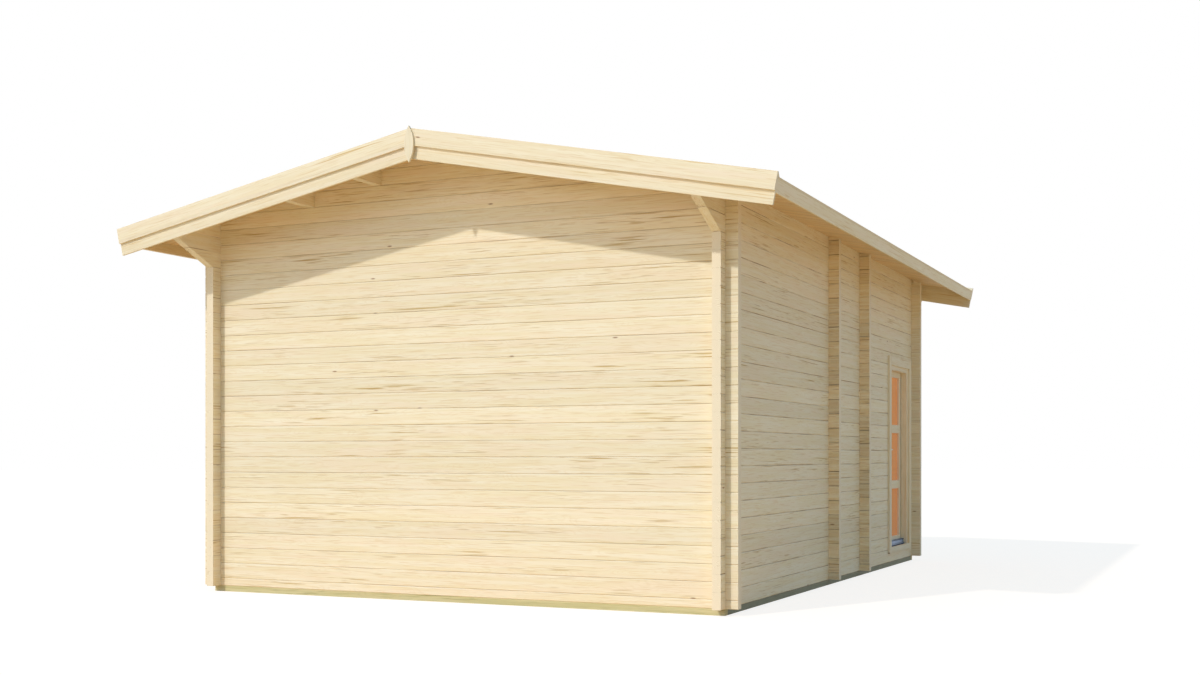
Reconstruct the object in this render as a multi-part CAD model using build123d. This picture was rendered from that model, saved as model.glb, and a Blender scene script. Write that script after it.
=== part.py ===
from build123d import *
import os
from math import ceil, cos, radians, sin, tan

# A log cabin: notched log walls on sill beams, a low gable roof on purlins, and one glazed door.
# Millimetres. The origin is on the ground at the middle of the plan. +X is the wall with the door,
# +Y runs along the ridge away from the front gable, and +Z is up.

# Log walls
log_thickness = 70.0
log_course = 133.0  # from one joint to the next
log_seam = 0.5  # play in the joint between two courses
log_bevel = 5.0  # bevel of a log's edges, two of which make a V joint
log_end_projection = 100.0  # past the outer face of the wall that a log crosses
notch_play = 0.3  # on each side of a crossing log
wall_width = 4780.0  # outer face to outer face of the side walls
wall_length = 6360.0  # outer face to outer face of the gable walls
wall_top = 3164.0  # roof underside at a side wall's outer face, above the lowest log
first_stub_from_back = 3515.0  # middle of a column of cross logs, from the back wall's outer face
second_stub_from_back = 2385.0

# Sill beams and floor
sill_beam_height = 51.0
sill_beam_width = 64.0
sill_beam_setback = 6.0  # behind the wall's outer face
joist_width = 70.0
joist_count = 9
joist_play = 0.3
floor_board_thickness = 26.0
floor_wall_gap = 8.0

# Roof
roof_pitch = 11.15  # degrees
deck_thickness = 18.0
eave_overhang = 576.0  # level distance from a side wall's outer face to the deck's edge
gable_overhang = 568.0  # from a gable wall's outer face to the face of the upper bargeboard
purlin_thickness = 70.0
purlin_depth = 110.5  # at its middle
purlin_spacing = 675.0  # level distance from one to the next, starting at the ridge
purlin_play = 0.3
purlins_each_side = 2
corbel_courses = 3  # top side logs that run out under the gable overhang
corbel_rise_share = 0.445  # rise of the corbel's slanted end as a share of its reach
bargeboard_thickness = 20.0
upper_bargeboard_height = 131.0
lower_bargeboard_height = 180.0
fascia_thickness = 20.0
fascia_height = 91.0
edge_lath_height = 33.0
edge_lath_width = 40.0
mitre_play = 0.6  # between the two boards that meet under the ridge
finial_height = 285.0
finial_width = 82.0
finial_thickness = 18.0
finial_rise = 15.0  # tip above the peak of the bargeboards

# Door frame and casing
door_from_back = 688.0  # middle of the doorway, from the back wall's outer face
door_clear_width = 745.0
door_clear_top = 2075.0  # above the lowest log
door_clear_bottom = 214.0
door_first_course = 1  # lowest course that the doorway cuts
jamb_width = 85.0
head_height = 75.0
frame_gap = 12.0  # packing gap between the frame and the logs beside it
settling_gap = 20.0  # room over the frame for the logs to settle
door_reveal = 62.0  # depth of the frame's stop, from the wall's outer face
stop_overlap = 12.0  # how far the leaf laps over the stop
stop_play = 5.0  # between the stop and the leaf
leaf_play = 7.0  # round the edge of the leaf
weather_bar_setback = 36.0
weather_bar_thickness = 3.0
weather_bar_drop = 80.0
outer_casing_width = 96.0
outer_casing_thickness = 20.0
outer_casing_lap = 25.0  # of the frame's face
foot_casing_height = 66.0
inner_casing_width = 80.0
inner_casing_thickness = 18.0

# Door leaf
leaf_thickness = 44.0
stile_width = 105.0
top_rail_height = 72.0
middle_rail_height = 88.0
bottom_rail_height = 50.0
pane_count = 3
glass_thickness = 4.0
glass_groove_depth = 10.0
glass_play = 0.3
hinge_barrel_radius = 6.0
hinge_half_length = 50.0
hinge_play = 0.5
hinge_flap_width = 30.0
hinge_flap_thickness = 3.0
hinge_edge_distance = 220.0  # from the top or foot of the leaf to the middle of a hinge
handle_height = 1010.0  # above the foot of the leaf
handle_plate_width = 44.0
handle_plate_height = 170.0
handle_plate_drop = 125.0  # from the lever's middle to the foot of the plate
handle_plate_thickness = 6.0
handle_neck_width = 14.0
handle_reach = 50.0  # from the leaf's face to the far side of the lever
lever_length = 115.0
lever_height = 18.0
lever_thickness = 12.0

overrun = 20.0  # by which a cutting shape passes what it cuts

# Places worked out from the sizes
half_width = wall_width / 2
half_length = wall_length / 2
log_base = sill_beam_height
log_height = log_course - log_seam
slope = tan(radians(roof_pitch))
slope_cos = cos(radians(roof_pitch))
slope_sin = sin(radians(roof_pitch))
ridge_underside = log_base + wall_top + half_width * slope
eave_run = (half_width + eave_overhang) / slope_cos
side_courses = ceil(wall_top / log_course)
gable_wall_courses = side_courses - 1
gable_top_course = ceil((ridge_underside - log_base) / log_course - 1 / 2)
deck_end = half_length + gable_overhang - bargeboard_thickness
purlin_end = deck_end - bargeboard_thickness
bargeboard_top = deck_thickness + edge_lath_height
stub_places = [half_length - first_stub_from_back, half_length - second_stub_from_back]
gable_places = [-half_length + log_thickness / 2, half_length - log_thickness / 2]

door_y = half_length - door_from_back
frame_half_width = door_clear_width / 2 + jamb_width
frame_top = log_base + door_clear_top + head_height
frame_bottom = log_base + door_first_course * log_course - log_seam
opening_half_width = frame_half_width + frame_gap
opening_top = frame_top + settling_gap
door_top_course = int((opening_top - log_base) // log_course)
leaf_half_width = door_clear_width / 2 + stop_overlap
leaf_bottom = log_base + door_clear_bottom - stop_overlap
leaf_top = log_base + door_clear_top + stop_overlap
leaf_outer = door_reveal + stop_play
frame_depth = leaf_outer + leaf_thickness
rebate_half_width = leaf_half_width + leaf_play


# Small helpers
def block(low, high):
    """A box from its lowest to its highest corner."""
    size = [b - a for a, b in zip(low, high)]
    return Pos(*low) * Box(*size, align=(Align.MIN, Align.MIN, Align.MIN))


def prism(points, way, length):
    """A flat outline pushed along a direction."""
    return extrude(make_face(Polyline(*points, close=True)), amount=length, dir=way)


def prism_along_x(outline, start, end):
    return prism([(start, y, z) for y, z in outline], (1, 0, 0), end - start)


def prism_along_y(outline, start, end):
    return prism([(x, start, z) for x, z in outline], (0, 1, 0), end - start)


def prism_along_z(outline, start, end):
    return prism([(x, y, start) for x, y in outline], (0, 0, 1), end - start)


def course_bottom(course):
    """Underside of a side wall log. A gable log of the same number lies half a course higher."""
    return log_base + course * log_course


def mirrored(outline):
    return [(-x, z) for x, z in outline]


# Roof lines, measured down the slope from the ridge and square to the roof's underside
def on_slope(run, lift):
    return run * slope_cos + lift * slope_sin, ridge_underside - run * slope_sin + lift * slope_cos


def roof_height(x, lift):
    return ridge_underside - abs(x) * slope + lift / slope_cos


def slope_strip(low, high):
    """Outline of a board on the right slope from the ridge to the eave."""
    near_ridge = mitre_play / 2
    return [
        (near_ridge, roof_height(near_ridge, low)),
        on_slope(eave_run, low),
        on_slope(eave_run, high),
        (near_ridge, roof_height(near_ridge, high)),
    ]


def both_slopes(outline, start, end):
    return [prism_along_y(outline, start, end), prism_along_y(mirrored(outline), start, end)]


def space_above_roof():
    far = half_width + eave_overhang
    eave = roof_height(far, 0)
    top = ridge_underside + log_course
    outline = [(-far, eave), (0, ridge_underside), (far, eave), (far, top), (-far, top)]
    return prism_along_y(outline, -deck_end, deck_end)


# Logs
def log_section(outer, inner, bottom, top):
    """Section of a log with its two outer edges bevelled."""
    bevel = log_bevel if outer > inner else -log_bevel
    return [
        (inner, bottom),
        (outer - bevel, bottom),
        (outer, bottom + log_bevel),
        (outer, top - log_bevel),
        (outer - bevel, top),
        (inner, top),
    ]


def saddle_in_side_log(place, bottom):
    """Notch in the underside of a right wall log, over a log that crosses it."""
    reach = log_thickness / 2 + notch_play
    low = (half_width - log_thickness - overrun, place - reach, bottom - overrun)
    high = (half_width + overrun, place + reach, bottom + log_course / 2)
    return block(low, high)


def side_log(course, start, end):
    """A log of the right wall with a saddle notch over each crossing log."""
    bottom = course_bottom(course)
    section = log_section(half_width, half_width - log_thickness, bottom, bottom + log_height)
    log = prism_along_y(section, start, end)
    crossings = [place for place in gable_places + stub_places if start < place < end]
    return log - [saddle_in_side_log(place, bottom) for place in crossings]


def corbel_cut(end):
    """Slanted space under the run-out ends of the top side logs, at the front (-1) or back (1)."""
    start = half_length + log_end_projection
    far = purlin_end + overrun
    low = course_bottom(side_courses - corbel_courses)
    high = low + (far - start) * corbel_rise_share
    outline = [(end * start, low), (end * far, low), (end * far, high)]
    return prism_along_x(outline, half_width - log_thickness - overrun, half_width + overrun)


def upper_side_logs(first):
    """Right wall logs from a given course to the roof, the top ones run out as corbels."""
    log_end = half_length + log_end_projection
    above = space_above_roof()
    corbel_cuts = [corbel_cut(-1), corbel_cut(1)]
    logs = []
    for course in range(first, side_courses):
        if course < side_courses - corbel_courses:
            logs.append(side_log(course, -log_end, log_end))
        else:
            logs.append(side_log(course, -purlin_end, purlin_end) - corbel_cuts - above)
    return logs


def stacked(lowest, first, last):
    """Copies of a log, one for each course."""
    return [Pos(0, 0, (course - first) * log_course) * lowest for course in range(first, last)]


def left_wall():
    log_end = half_length + log_end_projection
    plain_courses = side_courses - corbel_courses
    logs = stacked(side_log(0, -log_end, log_end), 0, plain_courses) + upper_side_logs(plain_courses)
    return [mirror(log, about=Plane.YZ) for log in logs]


def right_wall_over_door():
    low = (half_width - log_thickness - overrun, door_y - opening_half_width, frame_bottom)
    high = (half_width + overrun, door_y + opening_half_width, opening_top)
    doorway = block(low, high)
    first, *rest = upper_side_logs(door_top_course)
    return [first - doorway, *rest]


def right_wall_beside_door(start, end):
    lowest = side_log(door_first_course, start, end)
    return stacked(lowest, door_first_course, door_top_course)


def gable_log_outline(bottom, top):
    return log_section(-half_length, -half_length + log_thickness, bottom, top)


def saddle_in_gable_log(side, bottom):
    middle = side * (half_width - log_thickness / 2)
    reach = log_thickness / 2 + notch_play
    low = (middle - reach, -half_length - overrun, bottom - overrun)
    high = (middle + reach, -half_length + log_thickness + overrun, bottom + log_course / 2)
    return block(low, high)


def front_wall():
    """The front wall up to the roof: a half log, then full logs half a course above the side logs."""
    log_end = half_width + log_end_projection
    bottom = log_base + log_course / 2
    half_log = prism_along_x(gable_log_outline(log_base, bottom - log_seam), -log_end, log_end)
    full_log = prism_along_x(gable_log_outline(bottom, bottom + log_height), -log_end, log_end)
    full_log = full_log - [saddle_in_gable_log(-1, bottom), saddle_in_gable_log(1, bottom)]
    *lower, highest = stacked(full_log, 0, gable_wall_courses)
    return [half_log, *lower, highest - space_above_roof()]


def front_gable():
    """The pointed part of the front wall, cut round the purlins and to the roof's slope."""
    log_end = half_width - log_thickness - notch_play
    cuts = [space_above_roof()] + [purlin(step, purlin_play) for step in purlin_steps()]
    logs = []
    for course in range(gable_wall_courses, gable_top_course):
        bottom = course_bottom(course) + log_course / 2
        log = prism_along_x(gable_log_outline(bottom, bottom + log_height), -log_end, log_end)
        logs += (log - cuts).solids()
    return logs


def to_back(solids):
    return [mirror(solid, about=Plane.XZ) for solid in solids]


def wall_stubs():
    """Columns of short cross logs keyed through the right wall, their caps cut to the roof's slope."""
    start = half_width - log_thickness - log_end_projection
    end = half_width + log_end_projection
    stubs = []
    for place in stub_places:
        bottom = log_base + log_course / 2
        half_stub = short_log(place, log_base, bottom - log_seam, start, end)
        full_stub = short_log(place, bottom, bottom + log_height, start, end)
        low = (half_width - log_thickness - notch_play, place - log_thickness, bottom - overrun)
        high = (half_width + notch_play, place + log_thickness, bottom + log_course / 2)
        *lower, highest = stacked(full_stub - block(low, high), 0, gable_wall_courses)
        through = block(low, (high[0], high[1], bottom + log_course))
        cap = Pos(0, 0, gable_wall_courses * log_course) * (full_stub - through)
        stubs += [half_stub, *lower]
        stubs += [solid for log in (highest, cap) for solid in (log - space_above_roof()).solids()]
    return stubs


def short_log(place, bottom, top, start, end):
    """A cross log with its two top edges bevelled."""
    near = place - log_thickness / 2
    far = place + log_thickness / 2
    outline = [
        (near, bottom),
        (far, bottom),
        (far, top - log_bevel),
        (far - log_bevel, top),
        (near + log_bevel, top),
        (near, top - log_bevel),
    ]
    return prism_along_x(outline, start, end)


# Sill beams and floor
def gable_sill_beams():
    end = half_width - sill_beam_setback
    near = half_length - sill_beam_setback - sill_beam_width
    beam = block((-end, near, 0), (end, near + sill_beam_width, sill_beam_height))
    return [beam, mirror(beam, about=Plane.XZ)]


def side_sill_beams():
    end = half_length - sill_beam_setback - sill_beam_width
    near = half_width - sill_beam_setback - sill_beam_width
    beam = block((near, -end, 0), (near + sill_beam_width, end, sill_beam_height))
    return [beam, mirror(beam, about=Plane.YZ)]


def floor_joists():
    reach = half_width - sill_beam_setback - sill_beam_width - joist_play
    room = wall_length - (log_thickness + floor_wall_gap + joist_width / 2) * 2
    joist = block((-reach, -joist_width / 2, 0), (reach, joist_width / 2, sill_beam_height))
    spacing = room / (joist_count - 1)
    return [Pos(0, -room / 2 + number * spacing, 0) * joist for number in range(joist_count)]


def floor_deck():
    x = half_width - log_thickness - floor_wall_gap
    y = half_length - log_thickness - floor_wall_gap
    deck = block((-x, -y, sill_beam_height), (x, y, sill_beam_height + floor_board_thickness))
    reach = log_thickness + log_end_projection + floor_wall_gap
    cuts = []
    for place in stub_places:
        for side in (-1, 1):
            middle = (side * half_width, place, sill_beam_height)
            cuts.append(Pos(*middle) * Box(reach * 2, log_thickness + floor_wall_gap * 2, log_course))
    return [deck - cuts]


# Roof
def purlin_steps():
    return range(-purlins_each_side, purlins_each_side + 1)


def purlin(step, play):
    """A purlin with its top cut to the roof's slope, or the room for one."""
    x = step * purlin_spacing
    bottom = roof_height(x, 0) - purlin_depth - play
    left = x - purlin_thickness / 2 - play
    right = x + purlin_thickness / 2 + play
    outline = [(left, bottom), (right, bottom), (right, roof_height(right, 0))]
    if step == 0:
        outline.append((0, ridge_underside))
    outline.append((left, roof_height(left, 0)))
    return prism_along_y(outline, -purlin_end, purlin_end)


def fascia():
    outline = [
        on_slope(eave_run - fascia_thickness, -fascia_height),
        on_slope(eave_run, -fascia_height),
        on_slope(eave_run, 0),
        on_slope(eave_run - fascia_thickness, 0),
    ]
    return prism_along_y(outline, -purlin_end, purlin_end)


def front_edge_laths():
    """Three-cornered laths on the deck behind the upper bargeboards."""
    corners = [
        (-deck_end, deck_thickness),
        (-deck_end, bargeboard_top),
        (-deck_end + edge_lath_width, deck_thickness),
    ]
    points = []
    for y, lift in corners:
        x, z = on_slope(eave_run, lift)
        points.append((x, y, z))
    lath = prism(points, (-slope_cos, 0, slope_sin), eave_run + overrun)
    low = (-half_width, -deck_end - overrun, ridge_underside - half_width)
    high = (mitre_play / 2, -deck_end + edge_lath_width + overrun, ridge_underside + half_width)
    lath = lath - block(low, high)
    return [lath, mirror(lath, about=Plane.YZ)]


def front_upper_bargeboards():
    strip = slope_strip(bargeboard_top - upper_bargeboard_height, bargeboard_top)
    return both_slopes(strip, -deck_end - bargeboard_thickness, -deck_end)


def front_lower_bargeboards():
    return both_slopes(slope_strip(-lower_bargeboard_height, 0), -deck_end, -purlin_end)


def front_finial():
    """A lens-shaped plate over the joint of the bargeboards."""
    y = -half_length - gable_overhang
    top = roof_height(0, bargeboard_top) + finial_rise
    middle = top - finial_height / 2
    foot = top - finial_height
    right = ThreePointArc((0, y, foot), (finial_width / 2, y, middle), (0, y, top))
    left = ThreePointArc((0, y, top), (-finial_width / 2, y, middle), (0, y, foot))
    return [extrude(make_face([right, left]), amount=finial_thickness, dir=(0, -1, 0))]


# Door, in depth inwards from the wall's outer face, place along the wall from its middle, and height
def door_block(depth, along, height):
    low = (half_width - depth[1], door_y + along[0], height[0])
    high = (half_width - depth[0], door_y + along[1], height[1])
    return block(low, high)


def door_jambs():
    """Jambs with a stop outside and a rebate for the leaf inside."""
    outer = half_width
    stop = half_width - door_reveal
    inner = half_width - frame_depth
    jambs = []
    for side in (-1, 1):
        clear = door_y + side * door_clear_width / 2
        rebate = door_y + side * rebate_half_width
        back = door_y + side * frame_half_width
        outside = [(outer, clear), (outer, back), (inner, back)]
        outline = outside + [(inner, rebate), (stop, rebate), (stop, clear)]
        jambs.append(prism_along_z(outline, frame_bottom, frame_top))
    return jambs


def door_head():
    clear = door_clear_width / 2
    stop = door_block((0, door_reveal), (-clear, clear), (log_base + door_clear_top, frame_top))
    rebate = (-rebate_half_width, rebate_half_width)
    return [stop + door_block((door_reveal, frame_depth), rebate, (leaf_top + leaf_play, frame_top))]


def door_sill():
    clear = door_clear_width / 2
    front = weather_bar_setback + weather_bar_thickness
    top = log_base + door_clear_bottom - weather_bar_thickness
    stop = door_block((front, door_reveal), (-clear, clear), (frame_bottom, top))
    rebate = (-rebate_half_width, rebate_half_width)
    return [stop + door_block((door_reveal, frame_depth), rebate, (frame_bottom, leaf_bottom - leaf_play))]


def weather_bar():
    """A metal angle over the front and top of the sill's stop."""
    back = weather_bar_setback + weather_bar_thickness
    top = log_base + door_clear_bottom
    along = (-door_clear_width / 2, door_clear_width / 2)
    front = door_block((weather_bar_setback, back), along, (top - weather_bar_drop, top))
    return [front + door_block((back, door_reveal), along, (top - weather_bar_thickness, top))]


def outer_casing():
    """Side boards, then head and foot boards, of the casing on the outer face of the wall."""
    inside = frame_half_width - outer_casing_lap
    outside = inside + outer_casing_width
    depth = (-outer_casing_thickness, 0)
    head_bottom = frame_top - outer_casing_lap
    foot_top = frame_bottom + outer_casing_lap
    foot_bottom = foot_top - foot_casing_height
    height = (foot_bottom, head_bottom + outer_casing_width)
    sides = [door_block(depth, (-outside, -inside), height), door_block(depth, (inside, outside), height)]
    head = door_block(depth, (-inside, inside), (head_bottom, head_bottom + outer_casing_width))
    foot = door_block(depth, (-inside, inside), (foot_bottom, foot_top))
    return sides, [head, foot]


def inner_casing():
    depth = (log_thickness, log_thickness + inner_casing_thickness)
    outside = frame_half_width + inner_casing_width
    height = (frame_bottom, frame_top + inner_casing_width)
    near = door_block(depth, (-outside, -frame_half_width), height)
    far = door_block(depth, (frame_half_width, outside), height)
    between = (-frame_half_width, frame_half_width)
    head = door_block(depth, between, (frame_top, frame_top + inner_casing_width))
    return [near, far], [head]


def pane_rows():
    """Foot and top of each pane's clear opening, from the lowest pane up."""
    rails = bottom_rail_height + top_rail_height + (pane_count - 1) * middle_rail_height
    height = (leaf_top - leaf_bottom - rails) / pane_count
    rows = []
    for number in range(pane_count):
        foot = leaf_bottom + bottom_rail_height + number * (height + middle_rail_height)
        rows.append((foot, foot + height))
    return rows


def glass_panes(play):
    """The panes, or the grooves that hold them, deeper by the play."""
    middle = leaf_outer + leaf_thickness / 2
    depth = (middle - glass_thickness / 2 - play, middle + glass_thickness / 2 + play)
    side = leaf_half_width - stile_width + glass_groove_depth + play
    lap = glass_groove_depth + play
    return [door_block(depth, (-side, side), (foot - lap, top + lap)) for foot, top in pane_rows()]


def leaf_frame():
    """Stiles and rails of the leaf, grooved for the glass."""
    grooves = glass_panes(glass_play)
    depth = (leaf_outer, leaf_outer + leaf_thickness)
    inside = leaf_half_width - stile_width
    height = (leaf_bottom, leaf_top)
    stiles = [
        door_block(depth, (-leaf_half_width, -inside), height) - grooves,
        door_block(depth, (inside, leaf_half_width), height) - grooves,
    ]
    edges = [leaf_bottom] + [edge for row in pane_rows() for edge in row] + [leaf_top]
    rails = []
    for foot, top in zip(edges[::2], edges[1::2]):
        rails.append(door_block(depth, (-inside, inside), (foot, top)) - grooves)
    return stiles, rails


def hinge_axis():
    x = half_width - frame_depth - hinge_barrel_radius
    y = door_y + leaf_half_width + leaf_play / 2
    return x, y


def hinge_halves():
    """Lower halves on the frame and upper halves on the leaf, on one axis."""
    x, y = hinge_axis()
    face = half_width - frame_depth
    flap_edge = leaf_play / 2
    flap_face = face - hinge_flap_thickness
    flap_reach = flap_edge + hinge_flap_width
    frame_flap = block((flap_face, y, 0), (face, y + flap_reach, hinge_half_length))
    leaf_flap = block((flap_face, y - flap_reach, 0), (face, y, hinge_half_length))
    barrel = Pos(x, y, 0) * extrude(Circle(hinge_barrel_radius), amount=hinge_half_length)
    low = leaf_bottom + hinge_edge_distance
    high = leaf_top - hinge_edge_distance
    frame_halves = []
    leaf_halves = []
    for middle in (low, (low + high) / 2, high):
        frame_halves.append(Pos(0, 0, middle - hinge_half_length) * (barrel + frame_flap))
        leaf_halves.append(Pos(0, 0, middle + hinge_play) * (barrel + leaf_flap))
    return frame_halves, leaf_halves


def door_handle():
    """A lever on a long plate, on the outer and on the inner face of the lock stile."""
    along = door_y - leaf_half_width + stile_width / 2
    height = leaf_bottom + handle_height
    neck_half = handle_neck_width / 2
    lever_half = lever_height / 2
    plate = block(
        (0, -handle_plate_width / 2, -handle_plate_drop),
        (handle_plate_thickness, handle_plate_width / 2, handle_plate_height - handle_plate_drop),
    )
    neck = block((0, -neck_half, -neck_half), (handle_reach, neck_half, neck_half))
    lever_low = (handle_reach - lever_thickness, -neck_half, -lever_half)
    lever = block(lever_low, (handle_reach, lever_length - neck_half, lever_half))
    furniture = plate + neck + lever
    outside = Pos(half_width - leaf_outer, along, height) * furniture
    inside_face = half_width - leaf_outer - leaf_thickness
    inside = Pos(inside_face, along, height) * mirror(furniture, about=Plane.YZ)
    return [outside, inside]


# The pieces, by name
log_end = half_length + log_end_projection
outer_sides, outer_head_and_foot = outer_casing()
inner_sides, inner_head = inner_casing()
door_stiles, door_rails = leaf_frame()
frame_hinges, leaf_hinges = hinge_halves()
left_and_right_decks = both_slopes(slope_strip(0, deck_thickness), -deck_end, deck_end)
right_fascia = fascia()

pieces = {
    "sill_beams_gables": gable_sill_beams(),
    "sill_beams_sides": side_sill_beams(),
    "floor_joists": floor_joists(),
    "floor_deck": floor_deck(),
    "front_wall": front_wall(),
    "front_gable": front_gable(),
    "back_wall": to_back(front_wall()),
    "back_gable": to_back(front_gable()),
    "left_wall": left_wall(),
    "left_wall_log_stubs": [mirror(stub, about=Plane.YZ) for stub in wall_stubs()],
    "right_wall_under_door": stacked(side_log(0, -log_end, log_end), 0, door_first_course),
    "right_wall_before_door": right_wall_beside_door(-log_end, door_y - opening_half_width),
    "right_wall_after_door": right_wall_beside_door(door_y + opening_half_width, log_end),
    "right_wall_over_door": right_wall_over_door(),
    "right_wall_log_stubs": wall_stubs(),
    "ridge_purlin": [purlin(0, 0)],
    "left_purlins": [purlin(step, 0) for step in purlin_steps() if step < 0],
    "right_purlins": [purlin(step, 0) for step in purlin_steps() if step > 0],
    "left_roof_deck": left_and_right_decks[1:],
    "right_roof_deck": left_and_right_decks[:1],
    "left_fascia": [mirror(right_fascia, about=Plane.YZ)],
    "right_fascia": [right_fascia],
    "front_upper_bargeboards": front_upper_bargeboards(),
    "front_lower_bargeboards": front_lower_bargeboards(),
    "front_edge_laths": front_edge_laths(),
    "front_finial": front_finial(),
    "back_upper_bargeboards": to_back(front_upper_bargeboards()),
    "back_lower_bargeboards": to_back(front_lower_bargeboards()),
    "back_edge_laths": to_back(front_edge_laths()),
    "back_finial": to_back(front_finial()),
    "door_jambs": door_jambs(),
    "door_head": door_head(),
    "door_sill": door_sill(),
    "door_weather_bar": weather_bar(),
    "door_outer_casing_sides": outer_sides,
    "door_outer_casing_head_and_foot": outer_head_and_foot,
    "door_inner_casing_sides": inner_sides,
    "door_inner_casing_head": inner_head,
    "door_hinges_on_frame": frame_hinges,
    "door_hinges_on_leaf": leaf_hinges,
    "door_stiles": door_stiles,
    "door_rails": door_rails,
    "door_glass": glass_panes(0),
    "door_handle": door_handle(),
}

os.makedirs("parts", exist_ok=True)
for name, shapes in pieces.items():
    solids = [solid for shape in shapes for solid in shape.solids()]
    export_step(Compound(children=solids), f"parts/{name}.step")
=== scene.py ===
import math

import bmesh
import bpy
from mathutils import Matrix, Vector


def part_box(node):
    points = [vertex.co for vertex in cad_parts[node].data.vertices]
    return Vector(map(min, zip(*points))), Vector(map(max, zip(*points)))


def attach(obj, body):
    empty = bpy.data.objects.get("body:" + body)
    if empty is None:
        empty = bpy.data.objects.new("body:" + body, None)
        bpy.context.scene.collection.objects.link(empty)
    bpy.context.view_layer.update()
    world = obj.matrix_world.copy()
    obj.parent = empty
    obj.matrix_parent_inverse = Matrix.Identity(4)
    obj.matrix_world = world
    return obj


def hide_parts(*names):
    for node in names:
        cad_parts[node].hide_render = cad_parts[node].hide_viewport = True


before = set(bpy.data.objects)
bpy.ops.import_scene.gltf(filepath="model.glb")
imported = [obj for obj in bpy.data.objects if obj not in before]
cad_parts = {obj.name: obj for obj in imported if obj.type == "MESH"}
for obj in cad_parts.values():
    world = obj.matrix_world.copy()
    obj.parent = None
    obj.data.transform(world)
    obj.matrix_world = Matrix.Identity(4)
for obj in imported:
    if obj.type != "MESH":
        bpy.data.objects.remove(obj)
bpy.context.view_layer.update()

mm = 0.001

# Sizes shared with the solid parts, in millimetres
log_course = 133
log_base = 51
log_thickness = 70
wall_half_width = 2390
wall_half_length = 3180
roof_pitch = math.radians(11.15)
deck_thickness = 18
stub_places = (-335, 795)
purlin_spacing = 675
joist_spacing = 766.75
gable_board_width = 170

# Boards that the solid decks stand for
roof_board_count = 83
roof_board_joint = 0.8
roof_board_bevel = 5
ridge_play = 0.3
floor_board_count = 44
floor_edge_board_width = 100
floor_board_joint = 0.8
floor_board_bevel = 1.5
floor_gap_at_stub = 43

# Glazing beads of the door
bead_width = 13
bead_depth = 15
bead_play = 0.3
bead_turns = range(10, 90, 16)

# Lever handles: the plate's edge as distances out of the leaf and inward, the turned parts as distances and radii
round_sides = 24
plate_width = 44
plate_edge = ((0.1, 0), (4, 0), (5.3, 0.6), (6, 2.4))
rose_profile = ((0, 19), (3, 19), (5, 17), (6, 14), (8, 9))
cylinder_profile = ((0, 10), (3.5, 10), (4.5, 9), (4.5, 3), (3, 3))
lever_drop = 45
lock_drop = 118
part_play = 0.1
lever_thickness = 12
lever_height = 18
lever_bend = 14
bend_steps = 6
lever_tip_share = 0.8

# Weather bar
bar_nose_height = 36
bar_nose_reach = 10
bar_bend = 3
# Dark strips on the bar, painted shadow lines
shadow_strip_height = 7
shadow_strip_depth = 3
shadow_strip_bevel = 1

slope_cos = math.cos(roof_pitch)
slope_sin = math.sin(roof_pitch)
slope_rise = math.tan(roof_pitch)


def colour(code):
    """A display colour written as a hex code, turned into the linear colour that shaders use."""
    parts = [int(code[i:i + 2], 16) / 255 for i in (1, 3, 5)]
    linear = [p / 12.92 if p <= 0.04045 else ((p + 0.055) / 1.055) ** 2.4 for p in parts]
    return (*linear, 1)


def add(tree, kind, inputs=None, **settings):
    """Adds a node with its settings, then sets or links its inputs, and gives its outputs."""
    made = tree.nodes.new(kind)
    for name, value in settings.items():
        setattr(made, name, value)
    for name, value in (inputs or {}).items():
        if isinstance(value, bpy.types.NodeSocket):
            tree.links.new(value, made.inputs[name])
        else:
            made.inputs[name].default_value = value
    return made.outputs


def start_material(name):
    material = bpy.data.materials.new(name)
    material.use_nodes = True
    material.node_tree.nodes.clear()
    return material, material.node_tree


# How a piece of wood lies: its direction along the grain, across its face and through its thickness
crosswise = ((1, 0, 0), (0, 0, 1), (0, 1, 0))
lengthwise = ((0, 1, 0), (0, 0, 1), (1, 0, 0))
upright = ((0, 0, 1), (0, 1, 0), (1, 0, 0))
underfoot = ((0, 1, 0), (1, 0, 0), (0, 0, 1))
down_the_gable = ((slope_cos, 0, -slope_sin), (slope_sin, 0, slope_cos), (0, 1, 0))
down_the_roof = ((slope_cos, 0, -slope_sin), (0, 1, 0), (slope_sin, 0, slope_cos))
sloping = (down_the_gable, down_the_roof)

# Each set of tones also holds the colour of a painted highlight along a log's upper edge and of painted shade in its
# joints
# Planed spruce: pale cream wood with faint yellow and pink zones, brown resin and knots
spruce_tones = {
    "pale": "#F8ECD0", "yellow": "#F3E4BF", "pink": "#F6E4C6", "latewood": "#E5CB9B",
    "streak": "#BA9443", "knot": "#8A5526", "seam": "#A0743F", "painted_highlight": "#FBF2DC", "end": "#F8E9CC",
}
# Planed spruce chosen for boards and joinery: few streaks, an even face
board_tones = {
    "pale": "#F8EACC", "yellow": "#F3E2BE", "pink": "#F6E3C6", "latewood": "#E8CFA2",
    "streak": "#D6B26E", "knot": "#8A5526", "seam": "#A0743F", "painted_highlight": "#FBF2DC", "end": "#F8E9CC",
}
# Short cross logs, browner and darker than the wall logs, with darker joints: painted shade
shaded_cross_tones = {
    "pale": "#F6E7C6", "yellow": "#EDD8AC", "pink": "#F0D8B2", "latewood": "#D3AC77",
    "streak": "#A67B45", "knot": "#85592F", "seam": "#7A552C", "painted_highlight": "#F3E4C2", "end": "#F8E9CC",
}
# Roof boards, a shade more golden
golden_tones = {
    "pale": "#F3D9AB", "yellow": "#EBC790", "pink": "#F0CFA2", "latewood": "#D9AE72",
    "streak": "#B6854A", "knot": "#8E6038", "seam": "#7A5A36", "painted_highlight": "#F6DDB2", "end": "#F2DEB8",
}
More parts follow.
